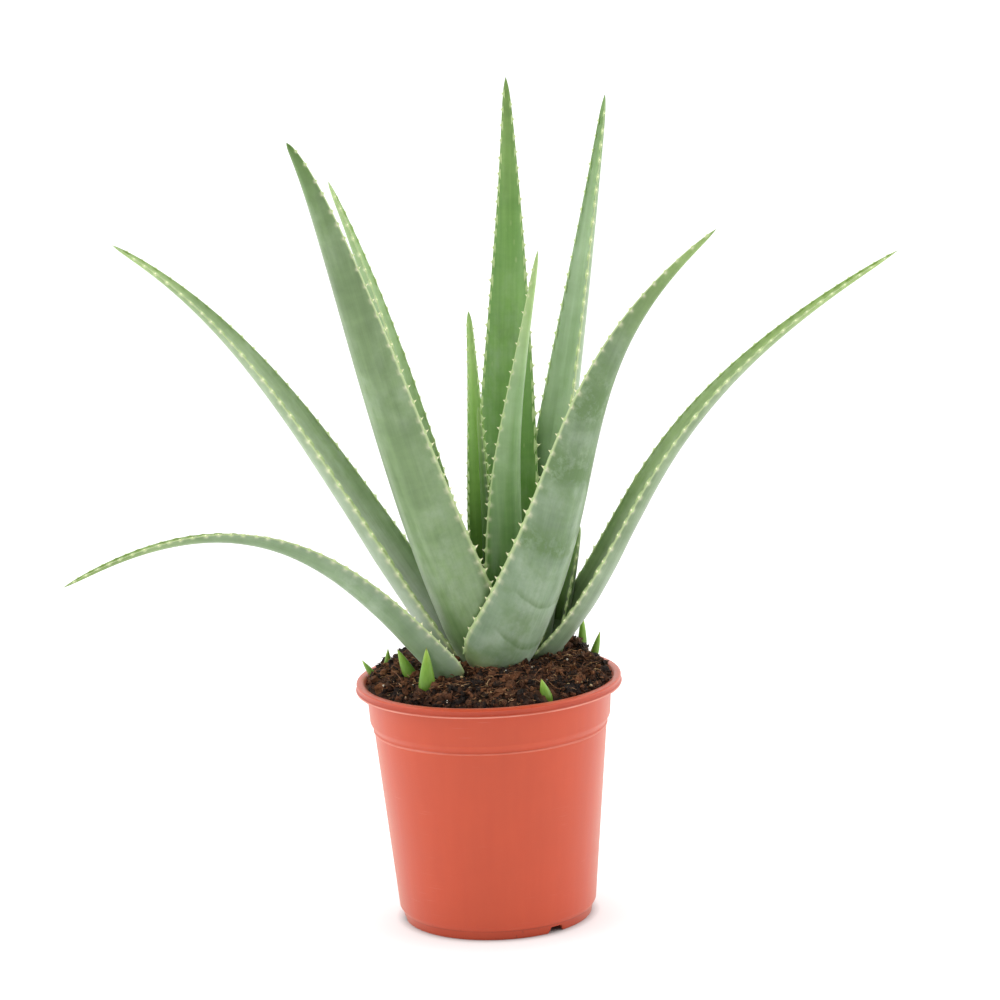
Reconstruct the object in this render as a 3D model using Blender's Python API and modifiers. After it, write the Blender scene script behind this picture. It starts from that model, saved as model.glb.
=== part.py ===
"""Potted aloe plant: a moulded plastic nursery pot, its soil, the short stem, twelve leaves and seven shoots.

Metres, +Z up. The pot's axis is the Z axis and the pot stands on z = 0. The plant faces -Y.
Lengths in the tables and constants are millimetres and angles are degrees. MM turns a length into metres.
"""

import math
from collections import namedtuple

import bmesh
import bpy
from mathutils import Matrix, Vector

MM = 0.001
GAP = 0.3  # clearance that a cut piece keeps to what cuts it

# ---- pot ----
POT_STEPS = 52
RIM_RADIUS = 85.0
RIM_TOP = 157.0
RIM_BOTTOM = 151.0
COLLAR_TOP_RADIUS = 78.0
COLLAR_BOTTOM_RADIUS = 76.8
COLLAR_TOP = 150.0
COLLAR_BOTTOM = 131.0
BODY_TOP_RADIUS = 74.2
BODY_TOP = 124.0
BODY_BOTTOM_RADIUS = 63.2
BODY_BOTTOM = 8.5
FOOT_RADIUS = 60.0
FOOT_HEIGHT = 6.0
FOOT_WALL = 2.0
WALL = 1.3
FLOOR_UNDER = 4.6
FLOOR_TOP = 6.2
DRAIN_HOLES = 8
DRAIN_RADIUS = 4.5
DRAIN_CIRCLE = 40.0
NOTCHES = 3
NOTCH_FIRST = 307.0
NOTCH_WIDTH = 13.0
NOTCH_TOP_WIDTH = 8.0
NOTCH_HEIGHT = 4.2

# ---- soil ----
SOIL_STEPS = 40
SOIL_CENTRE = 168.0
SOIL_EDGE = 157.0
SOIL_SLOPE = 2.0  # the back edge is this much above, and the front edge this much below, the mean edge
SOIL_LUMP = 1.3
SOIL_TOP_RADII = (77.6, 75.0, 68.0, 58.0, 46.0, 33.0, 20.0, 8.0)
SOIL_HEAPS = ((55.0, 38.0, 20.0, 9.5), (18.0, -32.0, 14.0, 3.5))  # x, y, spread and height of each heap

# ---- plant ----
ROSETTE = Vector((12.0, 8.0, 0.0))  # the stem stands a little off the pot's axis
STEM_STEPS = 24
STEM_PROFILE = (
    (0.0, 171.0), (7.0, 170.2), (12.0, 167.5), (15.0, 163.0), (15.0, 150.0), (10.0, 120.0), (0.0, 116.0),
)

RING_SHARES = (0.0, 0.015, 0.035, 0.065, 0.11, *(0.11 + 0.875 * (i + 1) / 14 for i in range(14)))
SIDE_POINTS = 5  # points of a section on each face, between the two margins

# Each leaf is a cubic curve from the stem to its tip with a crescent section round it.
#   base_az, base_r, base_z: where the leaf leaves the rosette's axis
#   tip: the tip's position
#   leave, arrive: (angle from vertical, azimuth) of the leaf's direction at its base and at its tip
#   pull: how far the two directions reach, as a share of the straight length
#   width, thick: at the base
#   face: azimuth that the outer face looks to
#   roll: turn about the leaf's own line, at its base and at its tip
#   taper: the power of the share of the length that the width falls off by
#   round: the inner leaves that this one's base fits round
Leaf = namedtuple("Leaf", "name base_az base_r base_z tip leave arrive pull width thick face roll taper round")

LEAVES = (
    Leaf("leaf_innermost", 200, 4, 168, (1, 5, 331), (3, 180), (2, 180), (0.36, 0.36),
         16, 7, 200, (0, 0), 1.5, ()),
    Leaf("leaf_small_centre", 170, 10, 168, (-3, 25, 389), (4, 160), (3, 120), (0.36, 0.36),
         24, 7, 110, (0, 0), 1.5, ("leaf_innermost",)),
    Leaf("leaf_narrow_centre", 284, 9, 168, (42, -15, 432), (0, 180), (11, 350), (0.50, 0.51),
         38, 9, 320, (-2, 2), 1.3, ()),
    Leaf("leaf_tall_centre", 85, 12, 168, (27, 95, 529), (6, 80), (4, 90), (0.36, 0.36),
         48, 11, 90, (0, 0), 1.5, ()),
    Leaf("leaf_behind_left", 150, 16, 167, (-88, 35, 474), (14, 172), (23, 175), (0.36, 0.30),
         44, 12, 170, (0, 0), 1.5, ("leaf_small_centre", "leaf_tall_centre")),
    Leaf("leaf_tall_right", 42, 18, 167, (90, 80, 517), (10, 25), (15, 50), (0.36, 0.36),
         45, 12, 35, (0, 0), 1.5, ("leaf_tall_centre",)),
    Leaf("leaf_short_right", 22, 31, 165, (62, 28, 247), (11, 10), (8, 10), (0.36, 0.36),
         24, 6, 28, (0, 0), 1.5, ("leaf_tall_right",)),
    Leaf("leaf_long_left", 165, 24, 164, (-228, 50, 437), (36, 170), (60, 172), (0.36, 0.33),
         44, 12, 160, (0, 0), 1.5, ("leaf_behind_left",)),
    Leaf("leaf_long_right", 19, 15.2, 164, (267, -5, 421), (47, 358), (61, 0), (0.31, 0.60),
         39, 9, 8, (-3, 6), 2.0, ("leaf_tall_right", "leaf_short_right")),
    Leaf("leaf_front_left", 222, 13, 165, (-107, -90, 514), (28, 214), (33, 202), (0.33, 0.14),
         52, 14, 235, (0, 0), 1.5, ("leaf_narrow_centre", "leaf_behind_left", "leaf_long_left")),
    Leaf("leaf_front_right", 239, 23.5, 163, (149, -95, 452), (34, 340), (52, 338), (0.42, 0.43),
         58, 16, 300, (0, 10), 1.1,
         ("leaf_narrow_centre", "leaf_tall_right", "leaf_short_right", "leaf_long_right", "leaf_front_left")),
    Leaf("leaf_low_left", 229, 47, 161, (-264, -35, 234), (41, 190), (117, 188), (0.33, 0.60),
         25, 8, 194, (35, -2), 2.1,
         ("leaf_small_centre", "leaf_behind_left", "leaf_long_left", "leaf_front_left")),
)
TIP_WIDTH = 4.0  # extra width near the tip, which ends it bluntly
BASE_ROUND = 0.07  # share of the length over which the base narrows to half its width
LEAF_CUP = 0.22  # how far the margins rise above the middle, as a share of the width
INNER_SHARE = 0.25  # the inner face's share of the thickness

# Each shoot: name, base, tip, radius at its widest.
SHOOTS = (
    ("shoot_rim_left", (-73, 16, 155), (-81, 20, 166), 2.2),
    ("shoot_back_left", (-65, 24, 157), (-64, 24, 172), 2.4),
    ("shoot_leaning", (-46, -18, 156), (-57, -15, 181), 4.5),
    ("shoot_upright", (-39, -43, 152), (-38, -43, 188), 5.5),
    ("shoot_front", (37, -60, 152), (33, -60, 169), 3.9),
    ("shoot_back_right", (61, 33, 160), (62, 34, 188), 3.1),
    ("shoot_rim_right", (67, 30, 156), (73, 31, 176), 2.7),
)
SHOOT_STEPS = 12

# Base colour, roughness, metallic.
POT_LOOK = ((0.67, 0.13, 0.06), 0.45, 0.0)
SOIL_LOOK = ((0.045, 0.022, 0.012), 0.95, 0.0)
STEM_LOOK = ((0.33, 0.38, 0.16), 0.6, 0.0)
OUTER_LEAF_LOOK = ((0.26, 0.36, 0.22), 0.55, 0.0)
INNER_LEAF_LOOK = ((0.16, 0.30, 0.09), 0.5, 0.0)
SHOOT_LOOK = ((0.17, 0.34, 0.05), 0.45, 0.0)


def clear_scene():
    for obj in list(bpy.data.objects):
        bpy.data.objects.remove(obj, do_unlink=True)


def new_collection(name):
    collection = bpy.data.collections.new(name)
    bpy.context.scene.collection.children.link(collection)
    return collection


def new_material(name, look):
    colour, roughness, metallic = look
    material = bpy.data.materials.new(name)
    material.use_nodes = True
    shader = material.node_tree.nodes["Principled BSDF"]
    shader.inputs["Base Color"].default_value = (*colour, 1.0)
    shader.inputs["Roughness"].default_value = roughness
    shader.inputs["Metallic"].default_value = metallic
    return material


def object_from(bm, name, collection, look):
    """Makes an object of a bmesh in millimetres. Without a look it is a cutter."""
    bmesh.ops.scale(bm, vec=(MM, MM, MM), verts=bm.verts)
    mesh = bpy.data.meshes.new(name)
    bm.to_mesh(mesh)
    bm.free()
    mesh.shade_smooth()
    mesh.set_sharp_from_angle(angle=math.radians(35))
    obj = bpy.data.objects.new(name, mesh)
    collection.objects.link(obj)
    if look:
        mesh.materials.append(new_material(name, look))
    else:
        obj.hide_render = True
        obj.display_type = "WIRE"
    return obj


def turned_bmesh(profile, steps):
    """A profile of (radius, height) points, running down its outer side, turned round the Z axis by a Screw."""
    mesh = bpy.data.meshes.new("profile")
    points = [(radius * MM, 0.0, height * MM) for radius, height in profile]
    edges = [(i, i + 1) for i in range(len(points) - 1)]
    mesh.from_pydata(points, edges, [])
    obj = bpy.data.objects.new("profile", mesh)
    bpy.context.scene.collection.objects.link(obj)
    screw = obj.modifiers.new("turn", "SCREW")
    screw.steps = steps
    screw.render_steps = steps
    screw.use_merge_vertices = True
    screw.merge_threshold = 0.00001
    bpy.context.view_layer.update()
    graph = bpy.context.evaluated_depsgraph_get()
    turned = bpy.data.meshes.new_from_object(obj.evaluated_get(graph))
    bpy.data.objects.remove(obj, do_unlink=True)
    bm = bmesh.new()
    bm.from_mesh(turned)
    bpy.data.meshes.remove(turned)
    bmesh.ops.scale(bm, vec=(1 / MM, 1 / MM, 1 / MM), verts=bm.verts)
    return bm


def cut(obj, cutter, solver="EXACT"):
    modifier = obj.modifiers.new("clear of " + cutter.name, "BOOLEAN")
    modifier.operation = "DIFFERENCE"
    modifier.solver = solver
    modifier.object = cutter


def drop_offcuts(obj):
    """Applies the object's cuts and keeps the largest body, without the crumbs that a cut leaves beside it."""
    bpy.context.view_layer.update()
    graph = bpy.context.evaluated_depsgraph_get()
    mesh = bpy.data.meshes.new_from_object(obj.evaluated_get(graph))
    obj.modifiers.clear()
    obj.data = mesh
    bm = bmesh.new()
    bm.from_mesh(mesh)
    bodies = []
    seen = set()
    for start in bm.verts:
        if start in seen:
            continue
        body = [start]
        seen.add(start)
        for vert in body:
            for edge in vert.link_edges:
                other = edge.other_vert(vert)
                if other not in seen:
                    seen.add(other)
                    body.append(other)
        bodies.append(body)
    bodies.sort(key=len)
    crumbs = [vert for body in bodies[:-1] for vert in body]
    bmesh.ops.delete(bm, geom=crumbs, context="VERTS")
    bm.to_mesh(mesh)
    bm.free()


def pot_profile():
    inner_body_top = BODY_TOP_RADIUS - WALL
    return (
        (0.0, FLOOR_TOP),
        (FOOT_RADIUS - 1.0, FLOOR_TOP),
        (BODY_BOTTOM_RADIUS - WALL, BODY_BOTTOM + 1.0),
        (inner_body_top, BODY_TOP + 0.5),
        (inner_body_top + 0.3, BODY_TOP + 4.0),
        (COLLAR_BOTTOM_RADIUS - WALL, COLLAR_BOTTOM + 1.0),
        (COLLAR_TOP_RADIUS - WALL, COLLAR_TOP),
        (COLLAR_TOP_RADIUS + 0.4, RIM_TOP - 2.6),
        (RIM_RADIUS - 5.4, RIM_TOP - 0.7),
        (RIM_RADIUS - 3.8, RIM_TOP),
        (RIM_RADIUS - 1.8, RIM_TOP - 0.2),
        (RIM_RADIUS - 0.4, RIM_TOP - 1.4),
        (RIM_RADIUS, RIM_TOP - 3.0),
        (RIM_RADIUS - 0.3, RIM_BOTTOM + 1.0),
        (RIM_RADIUS - 1.2, RIM_BOTTOM),
        (RIM_RADIUS - 2.4, RIM_BOTTOM + 0.2),
        (RIM_RADIUS - 3.0, RIM_TOP - 3.4),
        (COLLAR_TOP_RADIUS + 1.2, RIM_TOP - 3.8),
        (COLLAR_TOP_RADIUS, COLLAR_TOP),
        (COLLAR_BOTTOM_RADIUS, COLLAR_BOTTOM),
        (BODY_TOP_RADIUS + 0.4, BODY_TOP + 3.2),
        (BODY_TOP_RADIUS + 0.6, BODY_TOP + 1.6),
        (BODY_TOP_RADIUS, BODY_TOP),
        (BODY_BOTTOM_RADIUS, BODY_BOTTOM),
        (FOOT_RADIUS + 1.4, FOOT_HEIGHT),
        (FOOT_RADIUS, 0.0),
        (FOOT_RADIUS - FOOT_WALL, 0.0),
        (FOOT_RADIUS - FOOT_WALL + 0.4, FLOOR_UNDER),
        (0.0, FLOOR_UNDER),
    )


def make_drain_cutter(cutters, name, x, y):
    bm = bmesh.new()
    bmesh.ops.create_cone(
        bm, cap_ends=True, segments=12, radius1=DRAIN_RADIUS, radius2=DRAIN_RADIUS, depth=FLOOR_TOP * 2
    )
    bmesh.ops.translate(bm, vec=(x, y, FLOOR_TOP), verts=bm.verts)
    return object_from(bm, name, cutters, None)


def make_notch_cutter(cutters, name, azimuth):
    """A wedge that is wider at the floor than at its top, through the foot ring."""
    bm = bmesh.new()
    bmesh.ops.create_cube(bm, size=1.0)
    for vert in bm.verts:
        top = vert.co.z > 0
        width = NOTCH_TOP_WIDTH if top else NOTCH_WIDTH
        vert.co.x = FOOT_RADIUS + math.copysign(6.0, vert.co.x)
        vert.co.y = math.copysign(width / 2, vert.co.y)
        vert.co.z = NOTCH_HEIGHT if top else -1.0
    bmesh.ops.rotate(bm, cent=(0, 0, 0), matrix=Matrix.Rotation(math.radians(azimuth), 3, "Z"), verts=bm.verts)
    return object_from(bm, name, cutters, None)


def make_pot(parts, cutters):
    pot = object_from(turned_bmesh(pot_profile(), POT_STEPS), "pot", parts, POT_LOOK)
    cut(pot, make_drain_cutter(cutters, "drain_centre", 0.0, 0.0))
    for i in range(DRAIN_HOLES):
        angle = 2 * math.pi * (i + 0.1) / DRAIN_HOLES
        x = DRAIN_CIRCLE * math.cos(angle)
        y = DRAIN_CIRCLE * math.sin(angle)
        cut(pot, make_drain_cutter(cutters, f"drain_{i}", x, y))
    for i in range(NOTCHES):
        cut(pot, make_notch_cutter(cutters, f"notch_{i}", NOTCH_FIRST + i * 360.0 / NOTCHES))
    return pot


def soil_height(x, y):
    """The soil's surface: mounded at the plant, lower in front, with lumps."""
    share = min(math.hypot(x, y) / SOIL_TOP_RADII[0], 1.0)
    mound = SOIL_EDGE + (SOIL_CENTRE - SOIL_EDGE) * (1.0 - share**3)
    slope = SOIL_SLOPE * y / SOIL_TOP_RADII[0]
    lumps = math.sin(x / 7.0 + 1.3) * math.cos(y / 6.1 + 0.4) + 0.6 * math.sin(x / 3.9 - y / 4.7)
    heaps = sum(rise * math.exp(-((x - cx) ** 2 + (y - cy) ** 2) / r**2) for cx, cy, r, rise in SOIL_HEAPS)
    return mound + slope + SOIL_LUMP * lumps * (1.0 - 0.6 * share**4) + heaps * (1.0 - share**12)


def make_soil(parts):
    clear = WALL + GAP + 0.15
    profile = [(0.0, SOIL_CENTRE)]
    profile += [(radius, SOIL_CENTRE) for radius in reversed(SOIL_TOP_RADII)]
    profile += [
        (COLLAR_TOP_RADIUS - clear, COLLAR_TOP),
        (COLLAR_BOTTOM_RADIUS - clear, COLLAR_BOTTOM + 1.0),
        (BODY_TOP_RADIUS - clear, BODY_TOP + 4.0),
        (BODY_TOP_RADIUS - clear, BODY_TOP),
        (BODY_BOTTOM_RADIUS - clear, BODY_BOTTOM + 1.0),
        (FOOT_RADIUS - 1.5, FLOOR_TOP + GAP),
        (0.0, FLOOR_TOP + GAP),
    ]
    bm = turned_bmesh(profile, SOIL_STEPS)
    for vert in bm.verts:
        if vert.co.z > SOIL_CENTRE - 1.0:
            vert.co.z = soil_height(vert.co.x, vert.co.y)
    return object_from(bm, "soil", parts, SOIL_LOOK)


def stem_bmesh(grow):
    profile = []
    for radius, height in STEM_PROFILE:
        outward = grow if radius > 0 else 0.0
        up = grow if height > 160.0 else -grow if height < 118.0 else 0.0
        profile.append((radius + outward, height + up))
    bm = turned_bmesh(profile, STEM_STEPS)
    bmesh.ops.translate(bm, vec=ROSETTE, verts=bm.verts)
    return bm


def direction(angle_and_azimuth):
    angle, azimuth = map(math.radians, angle_and_azimuth)
    return Vector((math.sin(angle) * math.cos(azimuth), math.sin(angle) * math.sin(azimuth), math.cos(angle)))


def leaf_curve(leaf):
    """The four control points of the leaf's centreline."""
    azimuth = math.radians(leaf.base_az)
    outwards = Vector((math.cos(azimuth), math.sin(azimuth), 0.0))
    base = ROSETTE + outwards * leaf.base_r + Vector((0.0, 0.0, leaf.base_z))
    tip = Vector(leaf.tip)
    reach = (tip - base).length
    after_base = base + direction(leaf.leave) * (reach * leaf.pull[0])
    before_tip = tip - direction(leaf.arrive) * (reach * leaf.pull[1])
    return base, after_base, before_tip, tip


def on_curve(control, s):
    p0, p1, p2, p3 = control
    t = 1.0 - s
    point = p0 * t**3 + p1 * (3 * t * t * s) + p2 * (3 * t * s * s) + p3 * s**3
    along = (p1 - p0) * (3 * t * t) + (p2 - p1) * (6 * t * s) + (p3 - p2) * (3 * s * s)
    return point, along.normalized()


def section_frame(leaf, s, along):
    """Unit vectors across the leaf and towards its inner face."""
    face = math.radians(leaf.face)
    side = Vector((-math.sin(face), math.cos(face), 0.0))
    side = (side - along * side.dot(along)).normalized()
    inner = along.cross(side)
    roll = math.radians(leaf.roll[0] + (leaf.roll[1] - leaf.roll[0]) * s)
    return side * math.cos(roll) + inner * math.sin(roll), inner * math.cos(roll) - side * math.sin(roll)


def grown(outline, grow):
    """The outline with each of its edges moved outwards by grow. It runs clockwise."""
    count = len(outline)
    result = []
    for i, (x, y) in enumerate(outline):
        before = Vector((x - outline[i - 1][0], y - outline[i - 1][1])).normalized()
        after = Vector((outline[(i + 1) % count][0] - x, outline[(i + 1) % count][1] - y)).normalized()
        out_before = Vector((-before.y, before.x))
        out_after = Vector((-after.y, after.x))
        mitre = (out_before + out_after) / max(1.0 + out_before.dot(out_after), 0.2)
        result.append((x + mitre.x * grow, y + mitre.y * grow))
    return result


def leaf_width(leaf, s):
    base = math.sqrt(1.0 - 0.75 * max(0.0, 1.0 - s / BASE_ROUND) ** 2)
    blunt = TIP_WIDTH * (1.0 - math.exp((s - 1.0) / 0.02)) * math.exp((s - 1.0) / 0.15)
    return (leaf.width * (1.0 - s**leaf.taper) + blunt) * base


def leaf_section(leaf, s, grow):
    """The points round one section: a margin, the inner face, the other margin, the outer face."""
    point, along = on_curve(leaf_curve(leaf), s)
    side, inner = section_frame(leaf, s, along)
    width = leaf_width(leaf, s)
    thick = leaf.thick * (1.0 - s**1.3) ** 0.9

    def at(v, share):
        return v * width / 2, LEAF_CUP * width * (v * v - 0.5) + share * thick * math.sqrt(1.0 - v * v)

    between = [-1.0 + 2.0 * (i + 1) / (SIDE_POINTS + 1) for i in range(SIDE_POINTS)]
    outline = [at(-1.0, 0.0)]
    outline += [at(v, INNER_SHARE) for v in between]
    outline += [at(1.0, 0.0)]
    outline += [at(v, INNER_SHARE - 1.0) for v in reversed(between)]
    return [point + side * x + inner * y for x, y in grown(outline, grow)], along


def leaf_bmesh(leaf, grow):
    """Lofts the leaf's unlike sections, from the flat end in the stem to the point."""
    bm = bmesh.new()
    rings = []
    for s in RING_SHARES:
        section, along = leaf_section(leaf, s, grow)
        if s == 0.0:
            section = [point - along * grow for point in section]
        rings.append([bm.verts.new(point) for point in section])
    count = len(rings[0])
    tip_point, tip_along = on_curve(leaf_curve(leaf), 1.0)
    tip = bm.verts.new(tip_point + tip_along * grow)
    bm.faces.new(rings[0])
    for lower, upper in zip(rings, rings[1:]):
        for i in range(count):
            j = (i + 1) % count
            bm.faces.new((lower[j], lower[i], upper[i]))
            bm.faces.new((lower[j], upper[i], upper[j]))
    for i in range(count):
        bm.faces.new((rings[-1][(i + 1) % count], rings[-1][i], tip))
    bmesh.ops.recalc_face_normals(bm, faces=bm.faces)
    return bm


def shoot_bmesh(base, tip, radius, grow):
    """A pointed bud: a turned outline, leant from its base to its tip and a little flattened."""
    base, tip = Vector(base), Vector(tip)
    height = (tip - base).length
    outline = ((0.0, 1.0), (0.22, 0.86), (0.55, 0.64), (0.88, 0.38), (1.0, 0.18), (0.9, 0.0), (0.0, 0.0))
    profile = []
    for r, h in outline:
        up = grow if h == 1.0 else -grow if h == 0.0 else 0.0
        profile.append((r * radius + (grow if r > 0 else 0.0), h * height + up))
    bm = turned_bmesh(profile, SHOOT_STEPS)
    lean = (tip - base).normalized().to_track_quat("Z", "X").to_matrix()
    bmesh.ops.rotate(bm, cent=(0, 0, 0), matrix=lean, verts=bm.verts)
    bmesh.ops.translate(bm, vec=base, verts=bm.verts)
    return bm


def main():
    clear_scene()
    parts = new_collection("potted_aloe")
    cutters = new_collection("cutters")
    make_pot(parts, cutters)
    soil = make_soil(parts)
    object_from(stem_bmesh(0.0), "stem", parts, STEM_LOOK)
    stem_cutter = object_from(stem_bmesh(GAP), "around_stem", cutters, None)
    # The soil's hollows run into one another, which the exact solver loses: its cuts use the other one.
    cut(soil, stem_cutter, "MANIFOLD")
    inner_names = ("leaf_innermost", "leaf_small_centre", "leaf_narrow_centre", "leaf_tall_centre")
    leaf_cutters = {}
    for leaf in LEAVES:
        look = INNER_LEAF_LOOK if leaf.name in inner_names else OUTER_LEAF_LOOK
        obj = object_from(leaf_bmesh(leaf, 0.0), leaf.name, parts, look)
        cut(obj, stem_cutter)
        for name in leaf.round:
            cut(obj, leaf_cutters[name])
        drop_offcuts(obj)
        leaf_cutters[leaf.name] = object_from(leaf_bmesh(leaf, GAP), "around_" + leaf.name, cutters, None)
        cut(soil, leaf_cutters[leaf.name], "MANIFOLD")
    for name, base, tip, radius in SHOOTS:
        object_from(shoot_bmesh(base, tip, radius, 0.0), name, parts, SHOOT_LOOK)
        shoot_cutter = object_from(shoot_bmesh(base, tip, radius, GAP), "around_" + name, cutters, None)
        cut(soil, shoot_cutter, "MANIFOLD")
    drop_offcuts(soil)


main()
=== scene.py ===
"""Potted aloe plant: a moulded nursery pot with soil, a stem, twelve leaves with toothed margins and seven shoots.

Lengths in the tables are millimetres and angles are degrees; MM turns a length into metres.
"""

import math
import random
from collections import namedtuple
from contextlib import contextmanager

import bpy
import numpy as np
from mathutils import Matrix, Vector, noise


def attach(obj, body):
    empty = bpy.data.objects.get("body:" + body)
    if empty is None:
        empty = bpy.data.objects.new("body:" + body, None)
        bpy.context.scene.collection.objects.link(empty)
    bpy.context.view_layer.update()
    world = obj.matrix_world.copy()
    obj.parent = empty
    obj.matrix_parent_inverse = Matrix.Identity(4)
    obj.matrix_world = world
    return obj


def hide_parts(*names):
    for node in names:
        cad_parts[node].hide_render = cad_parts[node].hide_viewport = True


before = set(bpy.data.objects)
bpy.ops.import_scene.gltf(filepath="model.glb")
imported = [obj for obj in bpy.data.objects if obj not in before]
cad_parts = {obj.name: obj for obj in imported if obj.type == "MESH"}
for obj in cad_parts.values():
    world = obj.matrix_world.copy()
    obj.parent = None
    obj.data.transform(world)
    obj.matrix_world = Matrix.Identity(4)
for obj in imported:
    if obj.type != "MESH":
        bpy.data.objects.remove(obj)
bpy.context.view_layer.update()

bl_info = {
    "name": "Potted aloe plant",
    "version": (1, 0, 0),
    "blender": (4, 5, 0),
    "location": "3D View > Sidebar > Aloe",
    "description": "Builds a potted aloe plant piece by piece",
    "category": "Object",
}

MM = 0.001
JOIN_DISTANCE = 0.002 * MM  # points that lie closer than this become one


# ---------------- colours and nodes


def linear(hex_colour):
    """A linear RGBA colour from an sRGB hex string such as "#a4b895"."""
    parts = [int(hex_colour[i : i + 2], 16) / 255.0 for i in (1, 3, 5)]
    parts = [c / 12.92 if c <= 0.04045 else ((c + 0.055) / 1.055) ** 2.4 for c in parts]
    return (*parts, 1.0)


def opaque(colour):
    return (*colour, 1.0)


class Nodes:
    """Adds nodes to a material or a world. Most calls give the new node's output, ready to plug in."""

    def __init__(self, owner):
        self.owner = owner
        self.tree = owner.node_tree

    def add(self, kind, sockets=None, **settings):
        made = self.tree.nodes.new("ShaderNode" + kind)
        for name, value in settings.items():
            setattr(made, name, value)
        self.plug(made, sockets or {})
        return made

    def plug(self, node, sockets):
        """Fills the node's sockets. Each takes a value, a hex colour or another node's output."""
        for socket, value in sockets.items():
            if isinstance(value, bpy.types.NodeSocket):
                self.tree.links.new(value, node.inputs[socket])
            else:
                node.inputs[socket].default_value = linear(value) if isinstance(value, str) else value

    def place(self):
        return self.add("TexCoord").outputs["Object"]

    def attribute(self, name, output="Fac"):
        return self.add("Attribute", attribute_name=name).outputs[output]

    def parts(self, vector):
        return self.add("SeparateXYZ", {0: vector}).outputs

    def stretched(self, vector, factors):
        return self.add("VectorMath", {0: vector, 1: factors}, operation="MULTIPLY").outputs[0]

    def noise(self, vector, scale, detail=2.0, roughness=0.5):
        sockets = {"Vector": vector, "Scale": scale, "Detail": detail, "Roughness": roughness}
        return self.add("TexNoise", sockets).outputs[0]

    def mapped(self, value, low, high, to_low=0.0, to_high=1.0):
        sockets = {"Value": value, "From Min": low, "From Max": high, "To Min": to_low, "To Max": to_high}
        return self.add("MapRange", sockets).outputs[0]

    def maths(self, operation, first, second):
        return self.add("Math", {0: first, 1: second}, operation=operation).outputs[0]

    def times(self, value, *factors):
        for factor in factors:
            value = self.maths("MULTIPLY", value, factor)
        return value

    def mixed(self, share, first, second, blend="MIX"):
        return self.add("Mix", {0: share, 6: first, 7: second}, data_type="RGBA", blend_type=blend).outputs[2]

    def ramp(self, value, stops):
        made = self.add("ValToRGB", {0: value})
        elements = made.color_ramp.elements
        for place, _ in stops[1:-1]:
            elements.new(place)
        for element, (place, colour) in zip(elements, stops):
            element.position = place
            element.color = linear(colour)
        return made.outputs[0]

    def bump(self, strength, millimetres, height):
        sockets = {"Strength": strength, "Distance": millimetres * MM, "Height": height}
        return self.add("Bump", sockets).outputs[0]

    def surface(self, sockets):
        """Ends the material with a Principled shader and gives the material."""
        shader = self.add("BsdfPrincipled", sockets)
        self.add("OutputMaterial", {"Surface": shader.outputs[0]})
        return self.owner


def new_nodes(name):
    """The empty nodes of a new material."""
    material = bpy.data.materials.new(name)
    material.use_nodes = True
    material.node_tree.nodes.clear()
    return Nodes(material)


# ---------------- settings


def colour_property(name, hex_colour, description):
    default = linear(hex_colour)[:3]
    return bpy.props.FloatVectorProperty(
        name=name, description=description, subtype="COLOR", size=3, min=0.0, max=1.0, default=default
    )


def length_property(name, millimetres, description):
    default = millimetres * MM
    return bpy.props.FloatProperty(
        name=name, description=description, default=default, min=0.0, unit="LENGTH", precision=4
    )


def amount_property(name, default, description):
    return bpy.props.FloatProperty(name=name, description=description, default=default, min=0.0)


def count_property(name, default, most, description):
    return bpy.props.IntProperty(name=name, description=description, default=default, min=0, max=most)


class AloePotSettings(bpy.types.PropertyGroup):
    rim_radius: length_property("Rim radius", 85.0, "Outer radius of the rolled rim")
    height: length_property("Height", 157.0, "Height of the rim's top above the foot")
    wall: length_property("Wall", 1.3, "Thickness of the moulded wall")
    plastic: colour_property("Plastic", "#cc4c27", "Colour of the moulded plastic")
    scuff: colour_property("Scuffs", "#e29a86", "Colour of rubbed and scratched plastic")


class AloeLeafSettings(bpy.types.PropertyGroup):
    tooth_spacing: length_property("Tooth spacing", 10.5, "Distance between marginal teeth low on a large leaf")
    tooth_height: length_property("Tooth height", 3.1, "Height of the largest marginal teeth")
    bloom: colour_property("Bloom", "#b7c8b0", "Colour of the wax bloom on the skin")
    margin: colour_property("Margin", "#c3d69c", "Colour of the thin margin line")
    tooth: colour_property("Teeth", "#f8f4d0", "Colour of the marginal teeth")
    rings: bpy.props.IntProperty(name="Rings", description="Sections along a leaf", default=220, min=20, max=400)


class AloeSoilSettings(bpy.types.PropertyGroup):
    crumbs: count_property("Crumbs", 4000, 4000, "Peat crumbs on the soil")
    fibres: count_property("Fibres", 1700, 2500, "Coir fibres in the soil")
    grit: count_property("Grit", 260, 600, "Pale specks in the soil")
    seed: count_property("Seed", 11, 1000, "Seed of the scatter")
    dark: colour_property("Dark peat", "#1e0f07", "Colour of the moist peat")
    light: colour_property("Light peat", "#9a633d", "Colour of dry peat and bark")


class AloeStageSettings(bpy.types.PropertyGroup):
    floor: colour_property("Floor", "#c9c9c9", "Colour of the floor")
    floor_glow: amount_property("Floor glow", 0.62, "Light that the floor gives")
    sky: amount_property("Surround", 1.3, "Strength of the light all round")
    front: amount_property("Front", 0.26, "Strength of the light from in front")
    key: amount_property("Key", 9.0, "Power of the large soft lights")


# ---------------- modelling helpers


def deselect_all():
    if bpy.context.object and bpy.context.object.mode != "OBJECT":
        bpy.ops.object.mode_set(mode="OBJECT")
    bpy.ops.object.select_all(action="DESELECT")


def name_active(name):
    piece = bpy.context.object
    piece.name = name
    piece.data.name = name
    return piece


def make_active(piece):
    deselect_all()
    piece.select_set(True)
    bpy.context.view_layer.objects.active = piece


def join_to(piece, others):
    deselect_all()
    for other in others:
        other.select_set(True)
    piece.select_set(True)
    bpy.context.view_layer.objects.active = piece
    bpy.ops.object.join()


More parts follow.
